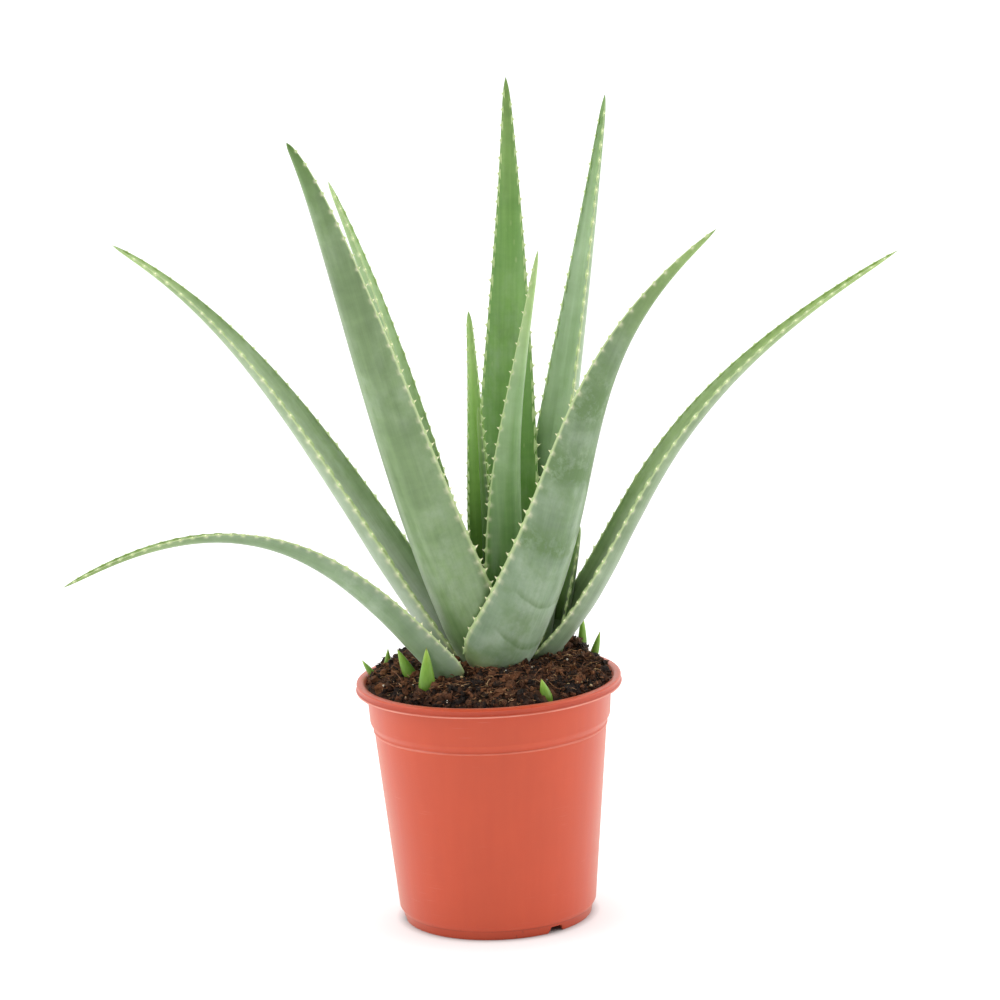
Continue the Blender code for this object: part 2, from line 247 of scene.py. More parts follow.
def apply_modifier(piece, kind, **settings):
    make_active(piece)
    modifier = piece.modifiers.new(kind.title(), kind)
    for name, value in settings.items():
        setattr(modifier, name, value)
    bpy.ops.object.modifier_apply(modifier=modifier.name)


def apply_place(piece):
    make_active(piece)
    bpy.ops.object.transform_apply(location=True, rotation=True, scale=True)


def points_of(mesh):
    points = np.empty(len(mesh.vertices) * 3)
    mesh.vertices.foreach_get("co", points)
    return points.reshape(-1, 3)


def move_points(mesh, points):
    mesh.vertices.foreach_set("co", np.asarray(points, np.float32).ravel())
    mesh.update()


def set_attribute(mesh, name, values):
    """Stores one number, or one vector, on each point for a material to read."""
    values = np.asarray(values, np.float32)
    kind, field = ("FLOAT_VECTOR", "vector") if values.ndim == 2 else ("FLOAT", "value")
    layer = mesh.attributes.new(name, kind, "POINT")
    layer.data.foreach_set(field, values.ravel())


@contextmanager
def edit_mode():
    """Edit Mode on the active object: all of it is selected on the way in, and none of it on the way out."""
    bpy.ops.object.mode_set(mode="EDIT")
    bpy.ops.mesh.select_mode(type="EDGE")
    bpy.ops.mesh.select_all(action="SELECT")
    yield
    bpy.ops.mesh.select_all(action="DESELECT")
    bpy.ops.object.mode_set(mode="OBJECT")


def fill_open_edges():
    bpy.ops.mesh.select_all(action="DESELECT")
    bpy.ops.mesh.select_non_manifold()
    bpy.ops.mesh.edge_face_add()


def cut_level(heights):
    """Cuts the active object straight across at each height."""
    with edit_mode():
        for height in heights:
            bpy.ops.mesh.select_all(action="SELECT")
            bpy.ops.mesh.bisect(plane_co=(0, 0, height), plane_no=(0, 0, 1))


def turned(name, profile, steps):
    """A closed turned shape: a ring is extruded and resized from the first (radius, height) to the last.

    Both ends of the profile are closed with a face.
    """
    deselect_all()
    radius, height = profile[0]
    bpy.ops.mesh.primitive_circle_add(vertices=steps, radius=radius * MM, location=(0.0, 0.0, height * MM))
    piece = name_active(name)
    apply_place(piece)
    with edit_mode():
        for new_radius, new_height in profile[1:]:
            move = (0.0, 0.0, (new_height - height) * MM)
            bpy.ops.mesh.extrude_edges_move(TRANSFORM_OT_translate={"value": move})
            share = new_radius / radius
            bpy.ops.transform.resize(value=(share, share, 1.0), center_override=(0.0, 0.0, new_height * MM))
            radius, height = new_radius, new_height
        fill_open_edges()
    close_ends(piece)
    return piece


def close_ends(piece):
    """Fills each open ring of the piece and turns its faces outwards."""
    make_active(piece)
    with edit_mode():
        bpy.ops.mesh.remove_doubles(threshold=JOIN_DISTANCE)
        fill_open_edges()
        bpy.ops.mesh.select_all(action="SELECT")
        bpy.ops.mesh.normals_make_consistent(inside=False)


def smooth(piece, angle=40.0):
    make_active(piece)
    bpy.ops.object.shade_smooth_by_angle(angle=math.radians(angle), keep_sharp_edges=False)


def shape_of(piece):
    """The piece's points and faces; the piece itself is deleted."""
    points = points_of(piece.data)
    faces = [tuple(face.vertices) for face in piece.data.polygons]
    bpy.data.objects.remove(piece, do_unlink=True)
    return points, faces


def scattered(name, shape, places):
    """One mesh of many copies of a small shape.

    Each place gives the copy's 3 by 3 turn and size, its spot in millimetres, and a tone that its material reads.
    """
    shape_points, shape_faces = shape
    count = len(shape_points)
    points = np.concatenate([shape_points @ (np.array(turn) * MM).T + np.array(spot) * MM for turn, spot, _ in places])
    faces = [tuple(i + k * count for i in face) for k in range(len(places)) for face in shape_faces]
    mesh = bpy.data.meshes.new(name)
    mesh.from_pydata(points.tolist(), [], faces)
    set_attribute(mesh, "tone", np.repeat([tone for _, _, tone in places], count))
    piece = bpy.data.objects.new(name, mesh)
    bpy.context.scene.collection.objects.link(piece)
    return piece


def finish_piece(piece, material, slot, *nodes):
    """The piece gets its material, rides on the part's one body and stands for its CAD nodes."""
    if material is not None:
        piece.data.materials.clear()
        piece.data.materials.append(material)
    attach(piece, "root")
    if nodes:
        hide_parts(*nodes)


# ---------------- pot

COLLAR_TOP_RADIUS, COLLAR_TOP = 78.0, 150.0
COLLAR_BOTTOM_RADIUS, COLLAR_BOTTOM = 76.8, 131.0
BODY_TOP_RADIUS, BODY_TOP = 74.2, 124.0
BODY_BOTTOM_RADIUS, BODY_BOTTOM = 63.2, 8.5
FOOT_RADIUS, FOOT_HEIGHT, FOOT_WALL = 60.0, 6.0, 2.0
FLOOR_UNDER, FLOOR_TOP = 4.6, 6.2
DRAIN_HOLES, DRAIN_RADIUS, DRAIN_CIRCLE = 8, 4.5, 40.0  # round the one in the middle
# Notches through the foot ring: their number, the azimuth of the first, their widths and height.
NOTCHES, NOTCH_FIRST, NOTCH_WIDTH, NOTCH_TOP_WIDTH, NOTCH_HEIGHT = 3, 307.0, 13.0, 8.0, 4.2
POT_STEPS = 144
STRIP_BLUR = 0.2  # how far the edge of a strip of painted shade or painted highlight fades


def pot_profile(rim, top, wall):
    """The pot's section from the middle of its floor up the inside, over the rim and down to its underside.

    Each corner of the pot is followed by the points near it, as moves from the corner.
    """
    lip = ((-5.4, -0.7), (-4.4, -0.1), (-1.7, -0.1), (-0.8, -0.5), (-0.5, -1.2), (-0.9, -2.0), (-0.9, -4.0))
    lip += ((-0.2, -4.5), (0.0, -5.1), (-0.3, -5.8), (-1.1, -6.0), (-2.3, -5.9), (-3.0, -3.4))
    ledge = ((0.9, 4.2), (0.35, 3.0), (0.3, 2.2), (0.75, 1.7), (0.7, 1.0), (0.1, 0.4))
    corners = (
        (3.0, FLOOR_TOP, ((0.0, 0.0),)),
        (FOOT_RADIUS, FLOOR_TOP, ((-1.0, 0.0),)),
        (BODY_BOTTOM_RADIUS - wall, BODY_BOTTOM, ((0.0, 1.0),)),
        (BODY_TOP_RADIUS - wall, BODY_TOP, ((0.0, 0.5), (0.3, 4.0))),
        (COLLAR_BOTTOM_RADIUS - wall, COLLAR_BOTTOM, ((0.0, 1.0),)),
        (COLLAR_TOP_RADIUS - wall, COLLAR_TOP, ((0.0, 0.0),)),
        (COLLAR_TOP_RADIUS, top, ((0.4, -2.6),)),
        (rim, top, lip),
        (COLLAR_TOP_RADIUS, top, ((1.2, -3.8),)),
        (COLLAR_TOP_RADIUS, COLLAR_TOP, ((0.0, 0.0),)),
        (COLLAR_BOTTOM_RADIUS, COLLAR_BOTTOM, ((0.0, 0.6), (-0.5, -0.8))),
        (BODY_TOP_RADIUS, BODY_TOP, ledge),
        (BODY_BOTTOM_RADIUS, BODY_BOTTOM, ((0.1, 0.6), (-0.4, -0.4))),
        (FOOT_RADIUS, FOOT_HEIGHT, ((1.5, 0.1), (1.1, -0.6))),
        (FOOT_RADIUS, 0.0, ((0.1, 0.5), (-0.4, 0.0))),
        (FOOT_RADIUS - FOOT_WALL, 0.0, ((0.3, 0.0), (0.0, 0.4))),
        (FOOT_RADIUS - FOOT_WALL, FLOOR_UNDER, ((0.4, 0.0),)),
        (3.0, FLOOR_UNDER, ((0.0, 0.0),)),
    )
    return [(radius + out, height + up) for radius, height, moves in corners for out, up in moves]


def pot_cutters():
    """The drain holes and the notches of the foot ring, as one object to cut with."""
    made = []
    places = [(0.0, 0.0)]
    for i in range(DRAIN_HOLES):
        angle = 2 * math.pi * (i + 0.1) / DRAIN_HOLES
        places.append((DRAIN_CIRCLE * math.cos(angle), DRAIN_CIRCLE * math.sin(angle)))
    for x, y in places:
        deselect_all()
        bpy.ops.mesh.primitive_cylinder_add(
            vertices=32, radius=DRAIN_RADIUS * MM, depth=12 * MM, location=(x * MM, y * MM, 6 * MM)
        )
        made.append(name_active("pot_cutter"))
    for i in range(NOTCHES):
        deselect_all()
        bpy.ops.mesh.primitive_cube_add(size=MM, location=(0.0, 0.0, 0.0))
        notch = name_active("pot_cutter")
        points = points_of(notch.data) / MM
        high = points[:, 2] > 0
        points[:, 0] = FOOT_RADIUS + np.sign(points[:, 0]) * 6.0
        points[:, 1] = np.sign(points[:, 1]) * np.where(high, NOTCH_TOP_WIDTH, NOTCH_WIDTH) / 2
        points[:, 2] = np.where(high, NOTCH_HEIGHT, -1.0)
        move_points(notch.data, points * MM)
        notch.rotation_euler.z = math.radians(NOTCH_FIRST + i * 360.0 / NOTCHES)
        made.append(notch)
    join_to(made[0], made[1:])
    return made[0]


def pot_material(settings):
    """Injection-moulded polypropylene, terracotta coloured.

    The eye sees a soft satin gloss, faint moulding flow down the wall, fine scuffs round the pot, painted shade
    on the lip between its beads, at the foot and in the line where the foot steps in, painted highlights on the lip's
    lower edge and on the bead, and soil dust at the rim and the foot.
    """
    nodes = new_nodes("polypropylene_moulded_satin")
    mapped, times, mixed = nodes.mapped, nodes.times, nodes.mixed
    place = nodes.place()
    height = nodes.parts(place)[2]
    cloudy = nodes.noise(place, 22.0, 4.0, 0.6)
    streaks = nodes.noise(nodes.stretched(place, (1.0, 1.0, 0.08)), 160.0, 3.0)
    darker, lighter = (opaque(min(c * level, 1.0) for c in settings.plastic) for level in (0.90, 1.08))
    colour = mixed(0.10, mixed(cloudy, darker, lighter), streaks, "SOFT_LIGHT")
    # Fine scratches run round the pot, in patches.
    scratches = mapped(nodes.noise(nodes.stretched(place, (30.0, 30.0, 900.0)), 1.0, 2.0, 0.7), 0.66, 0.74)
    patches = mapped(nodes.noise(place, 30.0), 0.50, 0.62, 0.0, 0.16)
    colour = mixed(times(scratches, patches), colour, opaque(settings.scuff))
    # Specks of soil lie at the rim and at the foot.
    near = nodes.maths("MAXIMUM", mapped(height, 0.150, 0.158, 0.0, 0.40), mapped(height, 0.009, 0.006, 0.0, 0.5))
    specks = mapped(nodes.noise(place, 380.0, 5.0, 0.7), 0.60, 0.68)
    colour = mixed(times(near, specks), colour, "#5b3524")
    top = settings.height / MM
    # Strips of painted shade and painted highlight round the pot.
    for low, high, tint, strength in (
        (top - 4.8, top - 1.6, "#b03414", 0.65),  # the shaded band between the lip's two beads
        (top - 5.7, top - 4.7, "#f4b09c", 0.60),  # painted highlight on the lip's lower edge
        (BODY_TOP + 0.9, BODY_TOP + 2.0, "#ef9c86", 0.45),  # painted highlight on the bead under the collar
        (-1.0, FOOT_HEIGHT - 0.2, "#a53c24", 0.40),  # painted shade on the foot ring
        (FOOT_HEIGHT - 0.5, FOOT_HEIGHT + 0.4, "#8a3018", 0.50),  # painted shade in the line where the foot steps in
    ):
        rising = mapped(height, (low - STRIP_BLUR) * MM, (low + STRIP_BLUR) * MM)
        falling = mapped(height, (high + STRIP_BLUR) * MM, (high - STRIP_BLUR) * MM)
        uneven = mapped(cloudy, 0.35, 0.6, 0.5 * strength, strength)
        colour = mixed(times(rising, falling, uneven), colour, tint)
    relief = nodes.maths("ADD", nodes.noise(place, 1400.0), streaks)
    look = {
        "Base Color": colour,
        "Roughness": mapped(cloudy, 0.0, 1.0, 0.30, 0.42),
        "Normal": nodes.bump(0.12, 0.3, relief),
        "Sheen Weight": 0.5,
        "Sheen Roughness": 0.3,
        "Sheen Tint": "#ffcbb4",
        "Subsurface Weight": 0.06,
        "Subsurface Radius": (0.004, 0.0015, 0.001),
    }
    return nodes.surface(look)


class ALOE_OT_pot(bpy.types.Operator):
    """Build the moulded pot with its rolled rim, foot ring, drain holes and notches"""

    bl_idname = "aloe.pot"
    bl_label = "Pot"

    def execute(self, context):
        settings = context.scene.aloe_pot
        profile = pot_profile(settings.rim_radius / MM, settings.height / MM, settings.wall / MM)
        pot = turned("nursery_pot", profile, POT_STEPS)
        cutter = pot_cutters()
        apply_modifier(pot, "BOOLEAN", operation="DIFFERENCE", solver="EXACT", object=cutter)
        bpy.data.objects.remove(cutter, do_unlink=True)
        apply_modifier(pot, "BEVEL", width=0.25 * MM, segments=2, limit_method="ANGLE", angle_limit=math.radians(32))
        smooth(pot)
        finish_piece(pot, pot_material(settings), "pot_plastic", "pot")
        return {"FINISHED"}


# ---------------- soil

SOIL_CENTRE, SOIL_EDGE, SOIL_SLOPE, SOIL_LUMP, SOIL_RADIUS = 168.0, 157.0, 2.0, 1.3, 77.6
SOIL_HEAPS = ((55.0, 38.0, 20.0, 9.5), (18.0, -32.0, 14.0, 3.5))  # x, y, spread and height of each heap
SOIL_STEPS = 200
SOIL_RINGS = 110
SOIL_CLEAR = 1.75  # from the pot's outer face in to the soil: the wall and a gap
CRUMB_REACH, FIBRE_REACH, LITTER_REACH = 77.0, 76.0, 76.5  # how far from the pot's axis each kind may lie
SHOOT_CLEAR, ROSETTE_CLEAR = 2.4, 16.0  # from a shoot's skin, and from the rosette's middle, to the nearest crumb
FIBRE_THICKNESS = 0.045  # share of the fibre's length


def soil_height(x, y):
    """The soil's surface: mounded at the plant, lower in front, with lumps."""
    share = min(math.hypot(x, y) / SOIL_RADIUS, 1.0)
    mound = SOIL_EDGE + (SOIL_CENTRE - SOIL_EDGE) * (1.0 - share**3)
    slope = SOIL_SLOPE * y / SOIL_RADIUS
    lumps = math.sin(x / 7.0 + 1.3) * math.cos(y / 6.1 + 0.4) + 0.6 * math.sin(x / 3.9 - y / 4.7)
    heaps = sum(rise * math.exp(-((x - cx) ** 2 + (y - cy) ** 2) / r**2) for cx, cy, r, rise in SOIL_HEAPS)
    return mound + slope + SOIL_LUMP * lumps * (1.0 - 0.6 * share**4) + heaps * (1.0 - share**12)


def crumbly_height(x, y):
    """The soil's surface with its clods and crumbs."""
    clods = noise.noise(Vector((x / 6.5, y / 6.5, 3.0)))
    crumbs = abs(noise.noise(Vector((x / 2.6, y / 2.6, 9.0))))
    fine = noise.noise(Vector((x, y, 5.0)))
    edge = min(1.0, max(0.0, (SOIL_RADIUS + 1.0 - math.hypot(x, y)) / 6.0))
    return soil_height(x, y) + edge * (4.6 * clods + 2.2 * crumbs + 0.5 * fine) - 0.9


def soil_light(x, y, z):
    """Painted shade: how light the soil is coloured at a place, 1 on its lumps and 0.25 down in its gaps."""
    return min(1.0, max(0.25, 0.65 + 0.25 * (z - soil_height(x, y))))


def soil_material(settings):
    """Moist peat with coir and bark: dark brown, matt and crumbly, each crumb its own shade.

    The tone also carries painted shade, darker down in the soil's gaps.
    """
    nodes = new_nodes("peat_and_coir_moist")
    place = nodes.place()
    patches = nodes.noise(place, 140.0, 5.0, 0.7)
    fine = nodes.noise(place, 900.0, 4.0, 0.7)
    fluff = nodes.noise(place, 2200.0, 4.0, 0.75)
    shade = nodes.mapped(nodes.maths("ADD", patches, nodes.attribute("tone")), 0.55, 1.25)
    colour = nodes.mixed(shade, opaque(settings.dark), opaque(settings.light))
    look = {
        "Base Color": nodes.mixed(nodes.mapped(fine, 0.56, 0.68, 0.0, 0.45), colour, "#9a6a42"),
        "Roughness": nodes.mapped(patches, 0.0, 1.0, 0.72, 0.98),
        "Normal": nodes.bump(1.0, 1.0, nodes.maths("ADD", fine, fluff)),
    }
    return nodes.surface(look)


def fibre_material():
    """Coir fibre and bark strip: dry, tan to red-brown, a little lighter than the peat it lies in."""
    nodes = new_nodes("coir_fibre_dry")
    stops = ((0.0, "#5a3520"), (0.4, "#8d5b3b"), (0.75, "#b98558"), (1.0, "#e0b98a"))
    dirt = nodes.mapped(nodes.noise(nodes.place(), 500.0, 3.0), 0.45, 0.75)
    colour = nodes.mixed(dirt, nodes.ramp(nodes.attribute("tone"), stops), "#4a2c1c")
    return nodes.surface({"Base Color": colour, "Roughness": 0.8})


def grit_material():
    """Expanded perlite and sand: off-white to tan, matt and pitted."""
    nodes = new_nodes("perlite_expanded")
    stops = ((0.0, "#b48c56"), (0.55, "#e2c690"), (1.0, "#fffaf0"))
    pits = nodes.noise(nodes.place(), 2500.0)
    colour = nodes.mixed(0.2, nodes.ramp(nodes.attribute("tone"), stops), pits, "MULTIPLY")
    return nodes.surface({"Base Color": colour, "Roughness": 0.9})


def soil_spots(rng, count, widest=LITTER_REACH):
    """Random places on the soil clear of the leaves and the shoots, with their heights, in millimetres."""
    spots = []
    while len(spots) < count:
        radius = widest * math.sqrt(rng.random())
        angle = rng.uniform(0.0, 2 * math.pi)
        x, y = radius * math.cos(angle), radius * math.sin(angle)
        clear = all(math.hypot(x - s.base[0], y - s.base[1]) > s.radius + SHOOT_CLEAR for s in SHOOTS)
        if clear and math.hypot(x - ROSETTE[0], y - ROSETTE[1]) > ROSETTE_CLEAR:
            spots.append((x, y, crumbly_height(x, y)))
    return spots


def turn_about(axis, angle):
    return Matrix.Rotation(angle, 3, axis)


def random_turn(rng):
    angle = rng.uniform(0, 2 * math.pi)
    return turn_about(Vector((rng.gauss(0, 1), rng.gauss(0, 1), rng.gauss(0, 1) + 0.01)), angle)


def crumb_shape(seed, rough, cuts=1):
    """A cube, subdivided and pressed into a ragged crumb of about unit size."""
    deselect_all()
    bpy.ops.mesh.primitive_cube_add(size=1.0)
    crumb = name_active("crumb_shape")
    with edit_mode():
        bpy.ops.mesh.subdivide(number_cuts=cuts, smoothness=0.7)
    points, faces = shape_of(crumb)
    for i, point in enumerate(points):
        large = noise.noise_vector(Vector(point) * 1.6 + Vector((seed, 0, 0)))
        small = noise.noise_vector(Vector(point) * 4.1) * 0.6
        points[i] = point + rough * np.array(large + small)
    return points, faces


def fibre_shape(bend):
    """A strip of unit length, four-sided, pointed at its ends and bowed."""
    deselect_all()
    bpy.ops.mesh.primitive_cylinder_add(vertices=4, radius=0.5, depth=1.0, end_fill_type="NGON")
    fibre = name_active("fibre_shape")
    cut_level((-0.25, 0.0, 0.25))
    points, faces = shape_of(fibre)
    ends = points[:, 2].copy()
    points[:, :2] *= FIBRE_THICKNESS * (1.0 - 0.7 * (2.0 * ends)[:, None] ** 2)
    points[:, 0] += bend * (0.25 - ends**2)
    points[:, 1] += 0.3 * bend * ends**3
    return points, faces


class ALOE_OT_soil(bpy.types.Operator):
    """Build the root ball of soil with its crumbly surface"""

    bl_idname = "aloe.soil"
    bl_label = "Soil"

    def execute(self, context):
        profile = [
            (2.0, FLOOR_TOP + 0.3),
            (FOOT_RADIUS - 1.5, FLOOR_TOP + 0.3),
            (BODY_BOTTOM_RADIUS - SOIL_CLEAR, BODY_BOTTOM + 1.0),
            (BODY_TOP_RADIUS - SOIL_CLEAR, BODY_TOP),
            (BODY_TOP_RADIUS - SOIL_CLEAR, BODY_TOP + 4.0),
            (COLLAR_BOTTOM_RADIUS - SOIL_CLEAR, COLLAR_BOTTOM + 1.0),
            (COLLAR_TOP_RADIUS - SOIL_CLEAR, COLLAR_TOP),
            (SOIL_RADIUS, COLLAR_TOP + 6.0),
        ]
        top = SOIL_CENTRE + 20.0
        rings = [SOIL_RADIUS * (1.0 - (i + 1) / SOIL_RINGS) for i in range(SOIL_RINGS - 1)]
        profile += [(radius, top) for radius in rings]
        soil = turned("potting_soil", profile, SOIL_STEPS)
        points = points_of(soil.data)
        for i, (x, y, z) in enumerate(points / MM):
            if z > top - 1.0:
                points[i, 2] = crumbly_height(x, y) * MM
        move_points(soil.data, points)
        # The tone is painted shade: lighter on the lumps and darker down in the gaps.
        set_attribute(soil.data, "tone", np.array([0.3 * soil_light(x, y, z) for x, y, z in points / MM]))
        smooth(soil, 180.0)
        finish_piece(soil, soil_material(context.scene.aloe_soil), "soil", "soil")
        return {"FINISHED"}


class ALOE_OT_litter(bpy.types.Operator):
    """Scatter the peat crumbs, coir fibres and pale grit over the soil"""

    bl_idname = "aloe.litter"
    bl_label = "Crumbs, fibres and grit"

    def execute(self, context):
        settings = context.scene.aloe_soil
        rng = random.Random(settings.seed)
        noise.seed_set(settings.seed + 1)  # without a seed, noise_vector would start from the clock
        material = soil_material(settings)
        # Name, number, smallest and largest size, how much longer than thick, how ragged,
        # how far it stands out as a share of its size, and the cuts of the cube that it is made from.
        kinds = (
            ("soil_clods", settings.crumbs // 12, 2.6, 5.6, 1.4, 0.90, 0.05, 2),
            ("soil_crumbs", settings.crumbs, 0.9, 2.8, 1.6, 0.80, 0.30, 1),
            ("soil_grains", settings.crumbs, 0.4, 1.3, 1.5, 0.60, 0.60, 1),
            ("soil_flakes", settings.crumbs // 4, 2.0, 5.0, 7.0, 0.35, 0.30, 1),
        )
        for seed, (name, count, smallest, largest, longer, ragged, rise, cuts) in enumerate(kinds):
            places = []
            for x, y, z in soil_spots(rng, count, CRUMB_REACH - largest / 3):
                size = smallest + (largest - smallest) * rng.random() ** 2.0
                thin = rng.uniform(0.8, 1.2) / longer
                turn = random_turn(rng) @ Matrix.Diagonal((1.0, min(1.0, 2.0 * thin), thin)) * size
                # A crumb's tone is random, and darkened as painted shade down in the soil's gaps.
                places.append((turn, (x, y, z + rise * size), rng.random() ** 1.6 * soil_light(x, y, z)))
            crumbs = scattered(name, crumb_shape(2.0 + seed, ragged, cuts), places)
            smooth(crumbs, 75.0)
            finish_piece(crumbs, material, "soil")
        places = [self.fibre_place(rng, *spot) for spot in soil_spots(rng, settings.fibres)]
        finish_piece(scattered("coir_fibres", fibre_shape(0.45), places), fibre_material(), "soil")
        places = []
        for x, y, z in soil_spots(rng, settings.grit):
            size = 0.4 + 0.8 * rng.random() ** 3
            places.append((random_turn(rng) * size, (x, y, z + rng.uniform(1.2, 2.8)), rng.random()))
        finish_piece(scattered("perlite_grit", crumb_shape(7.0, 0.5), places), grit_material(), "soil")
        return {"FINISHED"}

    @staticmethod
    def fibre_place(rng, x, y, z):
        """A fibre lies almost level, and is short and fat where it comes near the pot's wall."""
        length = 3.0 + 13.0 * rng.random() ** 1.6
        flat = turn_about("X", math.pi / 2 + rng.gauss(0.0, 0.25))
        turn = turn_about("Z", rng.uniform(0, 2 * math.pi)) @ flat
        turn = turn @ turn_about("Z", rng.uniform(0, 2 * math.pi))
        if math.hypot(x, y) + length / 2 > FIBRE_REACH:
            length *= 0.4
        thick = rng.uniform(0.6, 1.5) * 9.0 / length
        turn = turn @ Matrix.Diagonal((thick, thick * rng.uniform(0.5, 1.0), 1.0)) * length
        return turn, (x, y, z + rng.uniform(0.6, 3.6)), rng.random()


# ---------------- stem

ROSETTE = (12.0, 8.0)
STEM_STEPS = 48
STEM_PROFILE = ((1.5, 116.0), (10.0, 120.0), (15.0, 150.0), (15.0, 163.0), (12.0, 167.5), (7.0, 170.2), (1.5, 171.0))


def stem_material():
    """Young succulent stem: pale green to straw, matt, with darker leaf scars round it."""
    nodes = new_nodes("succulent_stem_scarred")
    place = nodes.place()
    wave = {"Vector": place, "Scale": 60.0, "Distortion": 6.0, "Detail": 3.0}
    rings = nodes.add("TexWave", wave, bands_direction="Z").outputs[1]
    shade = nodes.times(rings, nodes.noise(place, 200.0, 4.0))
    colour = nodes.ramp(shade, ((0.0, "#6b6a3a"), (0.5, "#9aa162"), (1.0, "#c2c48c")))
    return nodes.surface({"Base Color": colour, "Roughness": 0.7, "Normal": nodes.bump(0.5, 0.6, rings)})


class ALOE_OT_stem(bpy.types.Operator):
    """Build the short stem that the leaves grow from"""

    bl_idname = "aloe.stem"
    bl_label = "Stem"

    def execute(self, context):
        stem = turned("crown_stem", STEM_PROFILE, STEM_STEPS)
        stem.location = (ROSETTE[0] * MM, ROSETTE[1] * MM, 0.0)
        apply_place(stem)
        apply_modifier(stem, "BEVEL", width=1.5 * MM, segments=3, limit_method="ANGLE", angle_limit=math.radians(12))
        smooth(stem, 60.0)
        finish_piece(stem, stem_material(), "stem", "stem")
        return {"FINISHED"}


# ---------------- leaves

# Each leaf is a cubic curve from the stem to its tip with a crescent section round it.
#   base_az, base_r, base_z: where the leaf leaves the rosette's axis
#   tip: the tip's position
#   leave, arrive: (angle from vertical, azimuth) of the leaf's direction at its base and at its tip
#   pull: how far the two directions reach, as a share of the straight length
#   width, thick: at the base
#   face: azimuth that the outer face looks to
#   roll: turn about the leaf's own line, at its base and at its tip
#   taper: the power of the share of the length that the width falls off by
LEAF_FIELDS = "name base_az base_r base_z tip leave arrive pull width thick face roll taper"
Leaf = namedtuple("Leaf", LEAF_FIELDS, defaults=((0, 0), 1.5))
LEAVES = (
    Leaf("leaf_innermost", 200, 4, 168, (1, 5, 331), (3, 180), (2, 180), (0.36, 0.36), 16, 7, 200),
    Leaf("leaf_small_centre", 170, 10, 168, (-3, 25, 389), (4, 160), (3, 120), (0.36, 0.36), 24, 7, 110),
    Leaf("leaf_narrow_centre", 284, 9, 168, (42, -15, 432), (0, 180), (11, 350), (0.5, 0.51), 38, 9, 320, (-2, 2), 1.3),
    Leaf("leaf_tall_centre", 85, 12, 168, (27, 95, 529), (6, 80), (4, 90), (0.36, 0.36), 48, 11, 90),
    Leaf("leaf_behind_left", 150, 16, 167, (-88, 35, 474), (14, 172), (23, 175), (0.36, 0.30), 44, 12, 170),
    Leaf("leaf_tall_right", 42, 18, 167, (90, 80, 517), (10, 25), (15, 50), (0.36, 0.36), 45, 12, 35),
    Leaf("leaf_short_right", 22, 31, 165, (62, 28, 247), (11, 10), (8, 10), (0.36, 0.36), 24, 6, 28),
    Leaf("leaf_long_left", 165, 24, 164, (-228, 50, 437), (36, 170), (60, 172), (0.36, 0.33), 44, 12, 160),
    Leaf("leaf_long_right", 19, 15.2, 164, (267, -5, 421), (47, 358), (61, 0), (0.31, 0.60), 39, 9, 8, (-3, 6), 2.0),
    Leaf("leaf_front_left", 222, 13, 165, (-107, -90, 514), (28, 214), (33, 202), (0.33, 0.14), 52, 14, 235),
    Leaf(
        "leaf_front_right", 239, 23.5, 163, (149, -95, 452), (34, 340), (52, 338),
        (0.42, 0.43), 58, 16, 300, (0, 10), 1.1,
    ),
    Leaf(
        "leaf_low_left", 229, 47, 161, (-264, -35, 234), (41, 190), (117, 188),
        (0.33, 0.60), 25, 8, 194, (35, -2), 2.1,
    ),
)
BASE_ROUND = 0.07  # share of the length over which the base narrows to half its width
LEAF_CUP = 0.22  # rise of the margins over the middle, as a share of the width
INNER_SHARE = 0.25  # share of the thickness that lies on the inner face's side
TIP_WIDTH, TIP_THICKNESS = 4.0, 1.6  # extra size that makes the tip blunt
SECTION_STEPS, CURVE_STEPS = 48, 400
RIPPLE, RIPPLE_ACROSS, RIPPLE_ALONG = 0.45, 9.0, 34.0  # height and spacings of the skin's soft unevenness
TOOTH_FIRST, TOOTH_LAST = 9.0, 7.0  # from the leaf's base to its first tooth, and from its last tooth to the tip
TOOTH_SEED = 5
YOUNG_LEAVES = 4  # the first leaves of the table are the young ones
